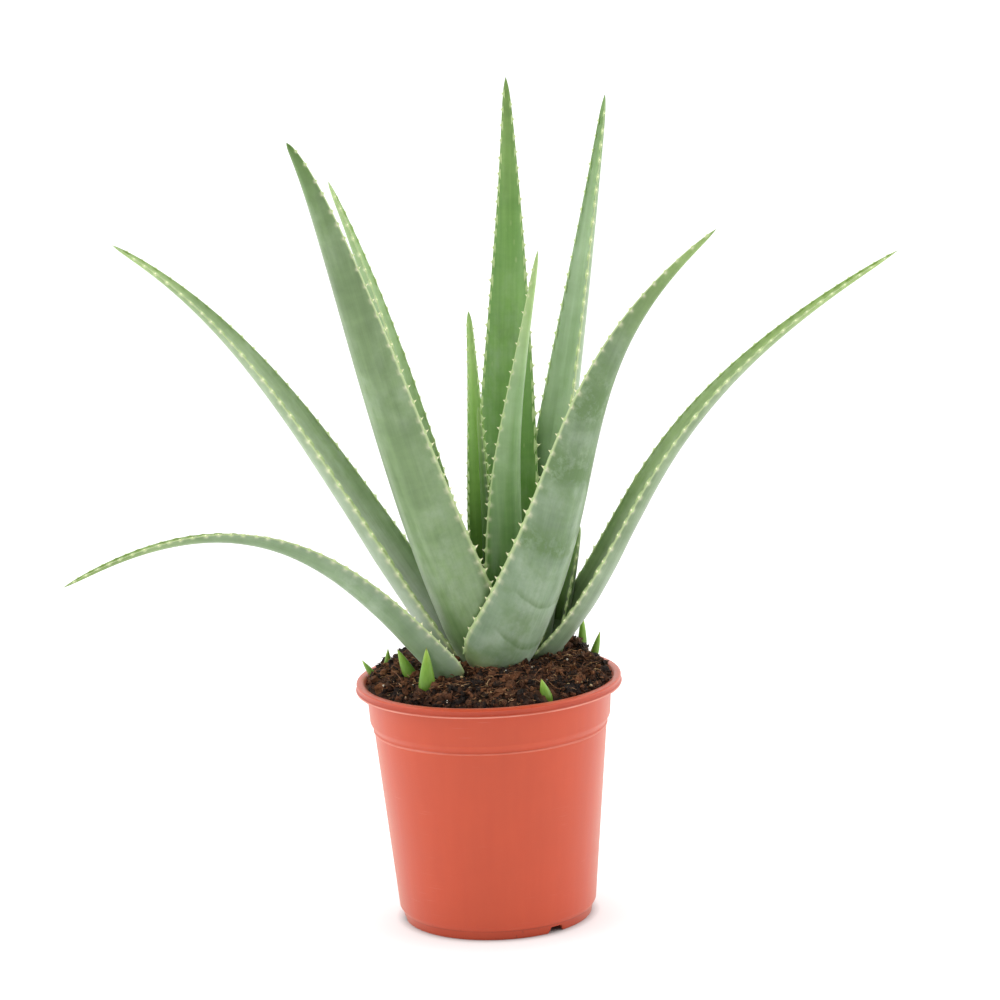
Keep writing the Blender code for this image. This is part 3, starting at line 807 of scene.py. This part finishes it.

# Skin colours: outer face low and high on the leaf, inner face low and high, tip.
# Then the strength of the wax bloom, of the pale flecks, of the rubbed green patches and of the painted highlight
# on one side of the outer face, which is the right one if the number is above zero and the left one if it is below.
# Last come the shares of the length at which a neighbour has pressed a line across the outer face, and the middles
# and half lengths of the bands where the bloom is rubbed off right across it.
SKIN_FIELDS = "outer_low outer_high inner_low inner_high tip bloom flecks patches sides lines bands"
Skin = namedtuple("Skin", SKIN_FIELDS, defaults=(0.1, (), ()))
SKINS = {
    # The innermost leaf's colours are darkened with painted shade, for its place deep in the rosette.
    "leaf_innermost": Skin("#35521f", "#5f8142", "#2b4517", "#4a6b2b", "#86a85a", 0.05, 0.1, 0.0),
    "leaf_small_centre": Skin("#669141", "#98c36a", "#638f3c", "#98c364", "#a3c674", 0.05, 0.2, 0.0),
    "leaf_narrow_centre": Skin("#6e984e", "#a1c38a", "#64903f", "#8fb46c", "#b9d68c", 0.25, 0.15, 0.3),
    "leaf_tall_centre": Skin("#76a34f", "#8db86c", "#75a24d", "#89b664", "#86a85a", 0.32, 1.0, 0.5),
    "leaf_behind_left": Skin("#789468", "#98b684", "#728f58", "#a6c588", "#a9c67e", 0.20, 0.3, 0.3),
    "leaf_tall_right": Skin("#8aa27a", "#98b486", "#92b181", "#98b686", "#6c9446", 0.30, 0.2, 0.3, 0.3),
    "leaf_short_right": Skin("#6f8c55", "#88a56c", "#64853c", "#7ca055", "#8fb25f", 0.15, 0.2, 0.0),
    "leaf_long_left": Skin("#93a88a", "#9cb388", "#879d77", "#92ae76", "#90b05c", 0.40, 0.1, 0.5),
    "leaf_long_right": Skin("#7f9674", "#869d72", "#7c9468", "#86a55c", "#98b85a", 0.30, 0.1, 0.6),
    "leaf_front_left": Skin("#7f9c68", "#728c5c", "#7b9c62", "#8aac6f", "#64883f", 0.34, 0.1, 0.12, -0.6),
    "leaf_front_right": Skin(
        "#869f7e", "#708a5e", "#74945f", "#88a56c", "#8cab5c",
        0.45, 0.1, 0.8, 0.6, (0.075, 0.155), ((0.285, 0.035), (0.46, 0.06), (0.62, 0.09)),
    ),
    "leaf_low_left": Skin("#7a946e", "#84a072", "#8da96c", "#93ae62", "#8dac55", 0.45, 0.1, 0.7, 0.2),
}


def direction(angle_and_azimuth):
    angle, azimuth = map(math.radians, angle_and_azimuth)
    return np.array((math.sin(angle) * math.cos(azimuth), math.sin(angle) * math.sin(azimuth), math.cos(angle)))


def leaf_curve(leaf):
    """The four control points of the leaf's centreline, in millimetres."""
    azimuth = math.radians(leaf.base_az)
    away = leaf.base_r * np.array((math.cos(azimuth), math.sin(azimuth)))
    base = np.array((*(np.array(ROSETTE) + away), leaf.base_z))
    tip = np.array(leaf.tip, float)
    reach = np.linalg.norm(tip - base)
    leaving = direction(leaf.leave) * reach * leaf.pull[0]
    arriving = direction(leaf.arrive) * reach * leaf.pull[1]
    return base, base + leaving, tip - arriving, tip


def unit(vectors):
    return vectors / np.linalg.norm(vectors, axis=-1, keepdims=True)


def leaf_frame(leaf, s):
    """Points of the centreline at the shares s, with the directions along, across and towards the inner face."""
    p0, p1, p2, p3 = leaf_curve(leaf)
    s = np.asarray(s, float)[:, None]
    t = 1.0 - s
    point = p0 * t**3 + p1 * (3 * t * t * s) + p2 * (3 * t * s * s) + p3 * s**3
    along = unit((p1 - p0) * (3 * t * t) + (p2 - p1) * (6 * t * s) + (p3 - p2) * (3 * s * s))
    face = math.radians(leaf.face)
    level = np.array((-math.sin(face), math.cos(face), 0.0))
    side = unit(level - along * (along @ level)[:, None])
    inner = np.cross(along, side)
    roll = np.radians(leaf.roll[0] + (leaf.roll[1] - leaf.roll[0]) * s)
    return point, along, side * np.cos(roll) + inner * np.sin(roll), inner * np.cos(roll) - side * np.sin(roll)


def leaf_width(leaf, s):
    left = 1.0 - s
    blunt = TIP_WIDTH * (1.0 - np.exp(-left / 0.02)) * np.exp(-left / 0.15)
    base = np.sqrt(1.0 - 0.75 * np.maximum(0.0, 1.0 - s / BASE_ROUND) ** 2)
    return (leaf.width * (1.0 - s**leaf.taper) + blunt) * base


def leaf_thickness(leaf, s):
    left = 1.0 - s
    blunt = TIP_THICKNESS * (1.0 - np.exp(-left / 0.02)) * np.exp(-left / 0.2)
    return leaf.thick * np.maximum(1.0 - s**1.3, 0.0) ** 0.9 + blunt


def leaf_points(leaf, s, across, depth_share):
    """Points on or in the leaf: across is -1 to 1 from margin to margin."""
    point, _, side, inner = leaf_frame(leaf, s)
    width = leaf_width(leaf, s)
    rise = LEAF_CUP * width * (across**2 - 0.5)
    depth = depth_share * leaf_thickness(leaf, s)
    return point + side * (across * width / 2)[:, None] + inner * (rise + depth)[:, None]


def length_along(leaf):
    """Shares of the curve and the lengths in millimetres that they lie at."""
    shares = np.linspace(0.0, 1.0, CURVE_STEPS + 1)
    point = leaf_frame(leaf, shares)[0]
    steps = np.linalg.norm(np.diff(point, axis=0), axis=1)
    return shares, np.concatenate([[0.0], np.cumsum(steps)])


def tooth_places(leaf, settings, rng):
    """(share, side, size) of each marginal tooth: wide apart and large below, close and small towards the tip."""
    shares, lengths = length_along(leaf)
    total = lengths[-1]
    big = min(1.0, 0.55 + 0.45 * leaf.width / 50.0)
    places = []
    for side in (-1.0, 1.0):
        reached = TOOTH_FIRST + rng.uniform(0.0, 4.0)
        while reached < total - TOOTH_LAST:
            share = reached / total
            fall = (1.0 - 0.55 * share) * (0.5 + 0.5 * min(1.0, share / 0.22))
            size = settings.tooth_height / MM * big * fall * rng.uniform(0.8, 1.15)
            places.append((float(np.interp(reached, lengths, shares)), side, size))
            spacing = settings.tooth_spacing / MM * big * (0.62 + 0.38 * min(1.0, share / 0.25))
            reached += spacing * rng.uniform(0.82, 1.18)
    return places


def tooth_shape():
    """One tooth of unit height: a cone on a long foot that runs out along the margin, hooked over towards +Y."""
    deselect_all()
    bpy.ops.mesh.primitive_cone_add(vertices=8, radius1=0.5, radius2=0.02, depth=1.6, location=(0, 0, 0.2))
    tooth = name_active("tooth_shape")
    apply_place(tooth)
    cut_level((-0.25, 0.0, 0.25, 0.5, 0.75))
    points = points_of(tooth.data)
    height = points[:, 2].copy()
    low = np.clip(0.5 - height, 0.0, 1.0)
    points[:, 0] *= 0.85 + 0.3 * low
    points[:, 1] *= 1.2 + 3.2 * low**1.5
    points[:, 1] += 0.50 * np.maximum(height, 0.0) ** 1.6
    move_points(tooth.data, points)
    set_attribute(tooth.data, "height", np.clip(height, 0.0, 1.0))
    return tooth


def leaf_material(name, skin, settings):
    """Aloe skin: a smooth cuticle under a wax bloom.

    The eye sees a soft sheen, streaks along the leaf, pale powdery bloom rubbed away in darker patches, pale flecks,
    a painted highlight on one side of the outer face, a thin light margin, cream round the teeth and a greener tip.
    """
    nodes = new_nodes("aloe_skin_waxed_" + name)
    mapped, times, mixed = nodes.mapped, nodes.times, nodes.mixed
    grain = nodes.attribute("grain", "Vector")
    margin, share, inner = nodes.parts(nodes.attribute("place", "Vector"))

    def stretched(across, along):
        return nodes.stretched(grain, (1.0 / (across * MM), 1.0 / (along * MM), 1.0))

    def noise_at(across, along, detail=3.0, roughness=0.55):
        return nodes.noise(stretched(across, along), 1.0, detail, roughness)

    def waved(value, across, along, detail, reach):
        wave = mapped(noise_at(across, along, detail), 0.0, 1.0, -reach, reach)
        return nodes.maths("ADD", value, wave)

    # The living skin: its own colours, then streaks and clouds along it.
    up = mapped(share, 0.05, 0.75)
    outer = mixed(up, skin.outer_low, skin.outer_high)
    inside = mixed(up, skin.inner_low, skin.inner_high)
    colour = mixed(mapped(share, 0.72, 0.98), mixed(inner, outer, inside), skin.tip)
    fine = noise_at(0.9, 40.0)
    for strength, texture in (
        (0.13, fine),
        (0.50, noise_at(4.5, 120.0)),
        (0.35, noise_at(26.0, 11.0, 4.0, 0.6)),
        (0.45, noise_at(22.0, 60.0, 3.0, 0.5)),
    ):
        colour = mixed(strength, colour, texture, "SOFT_LIGHT")

    # The wax bloom lies in drifts and thins out towards the tip. A painted highlight lightens one side of the outer
    # face.
    powder = noise_at(8.0, 14.0, 6.0, 0.65)
    drifts = times(mapped(powder, 0.38, 0.66), mapped(noise_at(25.0, 60.0), 0.40, 0.62))
    bloom = times(drifts, mapped(share, 0.55, 0.95, 1.0, 0.15), skin.bloom)
    colour = mixed(bloom, colour, opaque(settings.bloom))
    right, strength = math.copysign(0.003, skin.sides), abs(skin.sides)
    side_highlight_mask = times(mapped(nodes.parts(grain)[0], -right, right), mapped(margin, 0.70, 0.98))
    outer_only = times(mapped(inner, 0.5, 0.2), mapped(share, 0.05, 0.95, strength, 0.3 * strength))
    colour = mixed(times(side_highlight_mask, outer_only), colour, "#cad8c1")

    # Rubbed patches, then the lines and bands that neighbours have pressed across the face.
    rubbed = mapped(noise_at(24.0, 38.0, 5.0, 0.6), 0.50, 0.60)
    worn = times(rubbed, mapped(noise_at(9.0, 20.0, 4.0, 0.7), 0.34, 0.56), skin.patches * 0.62)
    colour = mixed(worn, colour, "#6a8a50")
    drawn_up = nodes.maths("SUBTRACT", share, times(margin, margin, 0.030))
    for at in skin.lines:
        wavy = waved(drawn_up, 26.0, 4000.0, 2.0, 0.012)
        line = times(mapped(wavy, at - 0.003, at + 0.001), mapped(wavy, at + 0.014, at + 0.002))
        broken = times(line, mapped(noise_at(9.0, 4000.0), 0.36, 0.56), mapped(margin, 0.85, 0.5))
        colour = mixed(times(broken, mapped(inner, 0.5, 0.4), 0.85), colour, "#5c7c46")
    for at, spread in skin.bands:
        wavy = waved(share, 16.0, 30.0, 3.0, 0.02)
        band = times(mapped(wavy, at - spread, at - 0.6 * spread), mapped(wavy, at + spread, at))
        broken = times(band, mapped(noise_at(7.0, 12.0, 5.0, 0.75), 0.40, 0.52))
        colour = mixed(times(broken, 0.8), colour, "#5f7f46")
    cells = nodes.add("TexVoronoi", {"Vector": stretched(4.2, 11.0), "Scale": 1.0, "Randomness": 1.0})
    flecks = times(mapped(cells.outputs["Distance"], 0.24, 0.10), mapped(noise_at(12.0, 30.0, 1.0), 0.50, 0.60))
    colour = mixed(times(flecks, skin.flecks * 0.55), colour, "#b9cf92")

    # The margin's line, the horn's colour round each tooth's foot and the pale base.
    colour = mixed(mapped(margin, 0.968, 0.995, 0.0, 0.95), colour, opaque(settings.margin))
    colour = mixed(times(nodes.attribute("halo"), 0.85), colour, opaque(settings.tooth))
    colour = mixed(mapped(share, 0.045, 0.0, 0.0, 0.85), colour, "#a9bd78")
    roughness = nodes.maths("ADD", mapped(bloom, 0.0, 0.4, 0.36, 0.54), mapped(fine, 0.3, 0.7, -0.05, 0.05))
    look = {
        "Base Color": colour,
        "Roughness": roughness,
        "Normal": nodes.bump(0.22, 0.6, nodes.maths("ADD", fine, times(powder, 0.5))),
        "Subsurface Weight": 0.12,
        "Subsurface Radius": (0.003, 0.005, 0.0015),
        "Sheen Weight": 0.32,
        "Sheen Roughness": 0.35,
    }
    return nodes.surface(look)


def tooth_material(settings):
    """Horny marginal tooth: cream to straw, faintly greenish at its foot, smooth with a low gloss."""
    nodes = new_nodes("aloe_tooth_horny")
    horn = nodes.mixed(nodes.noise(nodes.place(), 900.0), opaque(settings.tooth), "#eeeebb")
    colour = nodes.mixed(nodes.mapped(nodes.attribute("height"), 0.15, 0.5), "#b4c98c", horn)
    look = {
        "Base Color": colour,
        "Roughness": 0.45,
        "Emission Color": colour,
        "Emission Strength": 0.18,  # painted glow: the teeth give light of their own, standing in for the light that catches them
        "Subsurface Weight": 0.15,
        "Subsurface Radius": (0.002, 0.002, 0.001),
    }
    return nodes.surface(look)


def leaf_skin(leaf, rings, seed):
    """Rolls a grid into the leaf's crescent section along its curve.

    Gives the piece with, for each point, its share of the length and where it lies from margin to margin.
    """
    deselect_all()
    bpy.ops.mesh.primitive_grid_add(x_subdivisions=SECTION_STEPS, y_subdivisions=rings, size=1.0)
    piece = name_active(leaf.name + "_skin")
    grid = points_of(piece.data)
    turn = (grid[:, 0] + 0.5) * 2 * math.pi
    s = np.clip(grid[:, 1] + 0.5, 0.0, 1.0)
    across, height = -np.cos(turn), np.sin(turn)
    points = leaf_points(leaf, s, across, np.where(height > 0, INNER_SHARE, 1.0 - INNER_SHARE) * height)
    normals = leaf_frame(leaf, s)[3] * np.sign(height)[:, None]
    scale = (leaf.width / RIPPLE_ACROSS, length_along(leaf)[1][-1] / RIPPLE_ALONG)
    ripple = np.array([noise.noise(Vector((a * scale[0], b * scale[1], seed * 7.3))) for a, b in zip(across, s)])
    points += normals * (RIPPLE * ripple * np.abs(height) * (1.0 - s))[:, None]
    move_points(piece.data, points * MM)
    lateral = across * leaf_width(leaf, s) / 2 * MM
    lengths = np.interp(s, *length_along(leaf)) * MM
    inner = np.clip(height * 4.0 + 0.5, 0.0, 1.0)
    set_attribute(piece.data, "grain", np.stack([lateral, lengths, seed * 3.1 + inner * 0.37], 1))
    set_attribute(piece.data, "place", np.stack([np.abs(across), s, inner], 1))
    return piece, s, across


def tooth_halo(leaf, s, across, places):
    """How much of the teeth's colour each point of the skin takes: 1 at a tooth's foot."""
    halo = np.zeros(len(s))
    lengths = np.interp(s, *length_along(leaf))
    for share, side, size in places:
        at = np.interp(share, *length_along(leaf))
        near = np.exp(-(((lengths - at) / (0.62 * size)) ** 2))
        edge = np.exp(-((((1.0 - side * across) * leaf_width(leaf, s) / 2) / (0.35 * size)) ** 2))
        halo = np.maximum(halo, near * edge * min(1.0, 0.3 + share / 0.2))
    return halo


def place_tooth(leaf, tooth, rng, share, side, size):
    """Sets a copy of the tooth on the leaf's margin, pointing outwards and partly towards the inner face."""
    share = np.array([share])
    foot = leaf_points(leaf, share, np.array([side]), np.array([0.0]))[0]
    _, along, across, inwards = (part[0] for part in leaf_frame(leaf, share))
    out = unit(across * side + inwards * 4.0 * LEAF_CUP * rng.uniform(0.35, 0.75))
    turn = Matrix((np.cross(along, out), along, out)).transposed().to_4x4()
    copy = tooth.copy()
    copy.data = tooth.data.copy()
    bpy.context.scene.collection.objects.link(copy)
    copy.matrix_world = Matrix.Translation(Vector(foot) * MM) @ turn @ Matrix.Diagonal((*[size * MM] * 3, 1.0))
    return copy


def build_leaf(leaf, settings, tooth, rng, seed):
    """One leaf with its teeth, as one object with two materials."""
    piece, s, across = leaf_skin(leaf, settings.rings, seed)
    places = tooth_places(leaf, settings, rng)
    set_attribute(piece.data, "halo", tooth_halo(leaf, s, across, places))
    close_ends(piece)
    smooth(piece, 180.0)
    piece.data.materials.append(leaf_material(leaf.name, SKINS[leaf.name], settings))
    piece.data.materials.append(tooth.data.materials[0])
    join_to(piece, [place_tooth(leaf, tooth, rng, *place) for place in places])
    return piece


class ALOE_OT_leaves(bpy.types.Operator):
    """Build the twelve leaves with their marginal teeth"""

    bl_idname = "aloe.leaves"
    bl_label = "Leaves"

    def execute(self, context):
        settings = context.scene.aloe_leaf
        tooth = tooth_shape()
        tooth.data.materials.append(tooth_material(settings))
        smooth(tooth, 60.0)
        rng = random.Random(TOOTH_SEED)
        for seed, leaf in enumerate(LEAVES):
            piece = build_leaf(leaf, settings, tooth, rng, seed)
            finish_piece(piece, None, "young_leaf" if seed < YOUNG_LEAVES else "leaf", leaf.name)
        bpy.data.objects.remove(tooth, do_unlink=True)
        return {"FINISHED"}


# ---------------- shoots

Shoot = namedtuple("Shoot", "name base tip radius")
SHOOTS = (
    Shoot("shoot_rim_left", (-73, 16, 155), (-81, 20, 166), 2.2),
    Shoot("shoot_back_left", (-65, 24, 157), (-64, 24, 172), 2.4),
    Shoot("shoot_leaning", (-46, -18, 156), (-57, -15, 181), 4.5),
    Shoot("shoot_upright", (-39, -43, 152), (-38, -43, 188), 5.5),
    Shoot("shoot_front", (37, -60, 152), (33, -60, 169), 3.9),
    Shoot("shoot_back_right", (61, 33, 160), (62, 34, 188), 3.1),
    Shoot("shoot_rim_right", (67, 30, 156), (73, 31, 176), 2.7),
)
SHOOT_RINGS, SHOOT_STEPS = 28, 32
FULLEST = 0.36  # share of the height at which the shoot is thickest
FLATNESS = 0.88  # thickness as a share of the width


def shoot_material():
    """Young shoot skin: bright fresh green, smooth and a little glossy, paler at its foot, browned at the point."""
    nodes = new_nodes("aloe_shoot_fresh")
    stops = ((0.0, "#b3c768"), (0.2, "#6f9c2f"), (0.7, "#84b23f"), (0.93, "#a9cb55"), (1.0, "#7d5c33"))
    green = nodes.ramp(nodes.attribute("share"), stops)
    lines = nodes.noise(nodes.stretched(nodes.place(), (1.0, 1.0, 0.12)), 900.0, 3.0)
    look = {
        "Base Color": nodes.mixed(0.35, green, lines, "SOFT_LIGHT"),
        "Roughness": 0.42,
        "Normal": nodes.bump(0.15, 0.4, lines),
        "Subsurface Weight": 0.2,
        "Subsurface Radius": (0.002, 0.004, 0.001),
    }
    return nodes.surface(look)


def shoot_profile(height, radius):
    """A shoot's section: rounded in at its foot, fullest at FULLEST of its height, drawn in to the point."""
    profile = []
    for i in range(SHOOT_RINGS + 1):
        h = i / SHOOT_RINGS
        foot = math.sqrt(max(0.0, 1.0 - (max(0.0, FULLEST - h) / 0.46) ** 2))
        r = foot * (1.0 - max(0.0, (h - 0.3) / 0.7) ** 1.45) ** 0.92
        profile.append((max(r * radius, 0.06), h * height))
    return profile


class ALOE_OT_shoots(bpy.types.Operator):
    """Build the seven small shoots that come up through the soil"""

    bl_idname = "aloe.shoots"
    bl_label = "Shoots"

    def execute(self, context):
        material = shoot_material()
        for shoot in SHOOTS:
            base, tip = Vector(shoot.base), Vector(shoot.tip)
            height = (tip - base).length
            piece = turned(shoot.name + "_bud", shoot_profile(height, shoot.radius), SHOOT_STEPS)
            points = points_of(piece.data) / MM
            share = np.clip(points[:, 2] / height, 0.0, 1.0)
            angle = np.arctan2(points[:, 1], points[:, 0])
            fold = 1.0 - 0.10 * np.exp(-((angle / 0.35) ** 2)) * share
            points[:, 0] *= fold
            points[:, 1] *= fold * FLATNESS
            lean = np.array((tip - base).normalized().to_track_quat("Z", "X").to_matrix())
            points = points @ lean.T + np.array(base)
            move_points(piece.data, points * MM)
            set_attribute(piece.data, "share", share)
            smooth(piece, 60.0)
            finish_piece(piece, material, "shoot", shoot.name)
        return {"FINISHED"}


# ---------------- stage

CAMERA_TARGET = Vector((0.012, 0.0, 0.2713))
CAMERA_DISTANCE = 2.6
CAMERA_ELEVATION = 11.75
CAMERA_ROLL = -2.4
CAMERA_LENS = 147.96
LIGHT_TARGET = Vector((0.0, 0.0, 0.25))


def floor_material(settings):
    """Matt white paper floor, lit from under: an even white ground, with a painted shadow
    that is greyer round the pot's foot and dark under it.
    """
    nodes = new_nodes("paper_floor_matt")
    place = nodes.place()
    darker = [c * 0.985 for c in settings.floor]
    away = nodes.add("VectorMath", {0: place}, operation="LENGTH").outputs["Value"]
    # Painted shadow: the floor's glow is black under the pot and rises to full round its foot.
    shaded = ((0.0, "#000000"), (0.058, "#000000"), (0.066, "#e2e2e2"), (0.10, "#f6f6f6"), (0.20, "#ffffff"))
    look = {
        "Base Color": nodes.mixed(nodes.noise(place, 300.0), opaque(settings.floor), opaque(darker)),
        "Roughness": 0.9,
        "Emission Color": nodes.ramp(away, shaded),
        "Emission Strength": settings.floor_glow,
    }
    return nodes.surface(look)


class ALOE_OT_stage(bpy.types.Operator):
    """Set the floor, the white surround, the soft lights and the camera"""

    bl_idname = "aloe.stage"
    bl_label = "Stage"

    def execute(self, context):
        settings = context.scene.aloe_stage
        deselect_all()
        bpy.ops.mesh.primitive_plane_add(size=30.0, location=(0.0, 0.0, 0.0))
        floor = name_active("floor")
        floor.data.materials.append(floor_material(settings))
        world = bpy.data.worlds.new("even_sky")
        context.scene.world = world
        world.use_nodes = True
        # The surround is white at the sides and behind and dimmer in front, which brings up the edges of round things.
        nodes = Nodes(world)
        depth = nodes.parts(nodes.add("TexCoord").outputs["Generated"])[1]
        strength = nodes.mapped(depth, -0.9, 0.1, settings.front, settings.sky)
        nodes.plug(nodes.tree.nodes["Background"], {"Strength": strength, "Color": (1.0, 1.0, 1.0, 1.0)})
        # Name, place, size and share of the key's power; each light looks at the middle of the plant.
        lights = (
            ("soft_key", (-2.1, -0.5, 1.5), 1.4, 1.6),
            ("soft_fill", (2.2, -0.4, 1.1), 1.4, 1.1),
            ("soft_top", (0.1, 1.0, 2.4), 2.0, 0.6),
        )
        for name, place, size, share in lights:
            light = bpy.data.lights.new(name, "AREA")
            light.size = size
            light.energy = settings.key * share
            lamp = bpy.data.objects.new(name, light)
            context.scene.collection.objects.link(lamp)
            lamp.location = place
            aim = LIGHT_TARGET - Vector(place)
            lamp.rotation_euler = aim.to_track_quat("-Z", "Y").to_euler()
        context.scene.view_settings.view_transform = "Standard"
        self.place_camera(context)
        return {"FINISHED"}

    @staticmethod
    def place_camera(context):
        data = bpy.data.cameras.new("camera")
        data.lens = CAMERA_LENS
        data.sensor_width = 36.0
        data.clip_start = 0.05
        data.clip_end = 100.0
        camera = bpy.data.objects.new("camera", data)
        context.scene.collection.objects.link(camera)
        turn = turn_about("X", math.radians(90.0 - CAMERA_ELEVATION)) @ turn_about("Z", math.radians(CAMERA_ROLL))
        back = turn @ Vector((0.0, 0.0, CAMERA_DISTANCE))
        camera.matrix_world = Matrix.Translation(CAMERA_TARGET + back) @ turn.to_4x4()
        context.scene.camera = camera


# ---------------- panel and main


class ALOE_PT_panel(bpy.types.Panel):
    """The plant's pieces, in the order they are built"""

    bl_idname = "ALOE_PT_panel"
    bl_label = "Potted aloe plant"
    bl_space_type = "VIEW_3D"
    bl_region_type = "UI"
    bl_category = "Aloe"

    def draw(self, context):
        for group_name in SETTINGS:
            group = getattr(context.scene, group_name)
            box = self.layout.box()
            for name in group.__annotations__:
                box.prop(group, name)
        for operator in OPERATORS:
            self.layout.operator(operator.bl_idname)


OPERATORS = (ALOE_OT_pot, ALOE_OT_soil, ALOE_OT_litter, ALOE_OT_stem, ALOE_OT_leaves, ALOE_OT_shoots, ALOE_OT_stage)
SETTINGS = {
    "aloe_pot": AloePotSettings,
    "aloe_soil": AloeSoilSettings,
    "aloe_leaf": AloeLeafSettings,
    "aloe_stage": AloeStageSettings,
}


def register():
    for cls in (*SETTINGS.values(), *OPERATORS, ALOE_PT_panel):
        bpy.utils.register_class(cls)
    for name, group in SETTINGS.items():
        setattr(bpy.types.Scene, name, bpy.props.PointerProperty(type=group))


def unregister():
    for name in SETTINGS:
        delattr(bpy.types.Scene, name)
    for cls in (ALOE_PT_panel, *OPERATORS, *SETTINGS.values()):
        bpy.utils.unregister_class(cls)


def main():
    register()
    bpy.ops.aloe.pot()
    bpy.ops.aloe.soil()
    bpy.ops.aloe.litter()
    bpy.ops.aloe.stem()
    bpy.ops.aloe.leaves()
    bpy.ops.aloe.shoots()
    bpy.ops.aloe.stage()


if __name__ == "__main__":
    main()
